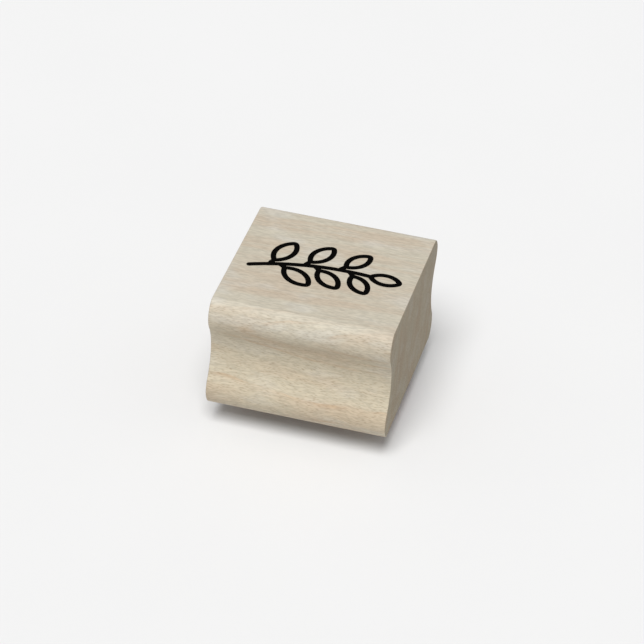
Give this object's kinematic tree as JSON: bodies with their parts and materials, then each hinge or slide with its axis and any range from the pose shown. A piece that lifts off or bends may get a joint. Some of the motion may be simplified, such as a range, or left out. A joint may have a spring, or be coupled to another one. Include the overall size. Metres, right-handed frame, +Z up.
{
  "type": "wood-mounted rubber stamp",
  "caption": "Wood-mounted rubber stamp: an engraved rubber die on a foam cushion under a finger-grooved wooden block, with the same leafy sprig inked on top as an index print.",
  "frame": {"origin": "on the paper, under the middle of the die and of the block", "axes": "+X along the wood grain and the moulding, towards the stamp's right end; +Y from front to back, across the finger grooves; +Z up"},
  "size_m": [0.0382, 0.0402, 0.0312],
  "materials": {
    "maple": "sanded, unvarnished",
    "index_ink": "matt printed ink",
    "adhesive_film": "clear acrylic film, pale at its cut edge",
    "cushion_foam": "closed-cell foam, matt",
    "die_rubber": "matt laser-engraved rubber"
  },
  "bodies": {
    "die_pad": {"rubber_die": "die_rubber", "die_adhesive": "adhesive_film", "foam_cushion": "cushion_foam"},
    "grip_block": {"block_adhesive": "adhesive_film", "wood_block": "maple", "index_print": "index_ink"}
  },
  "joints": [
    {"name": "press", "type": "slide", "parent": "die_pad", "child": "grip_block", "axis": [0, 0, -1], "range_m": [0, 0.0008], "stiffness_N_per_m": 40000, "deforming": ["foam_cushion"]}
  ]
}
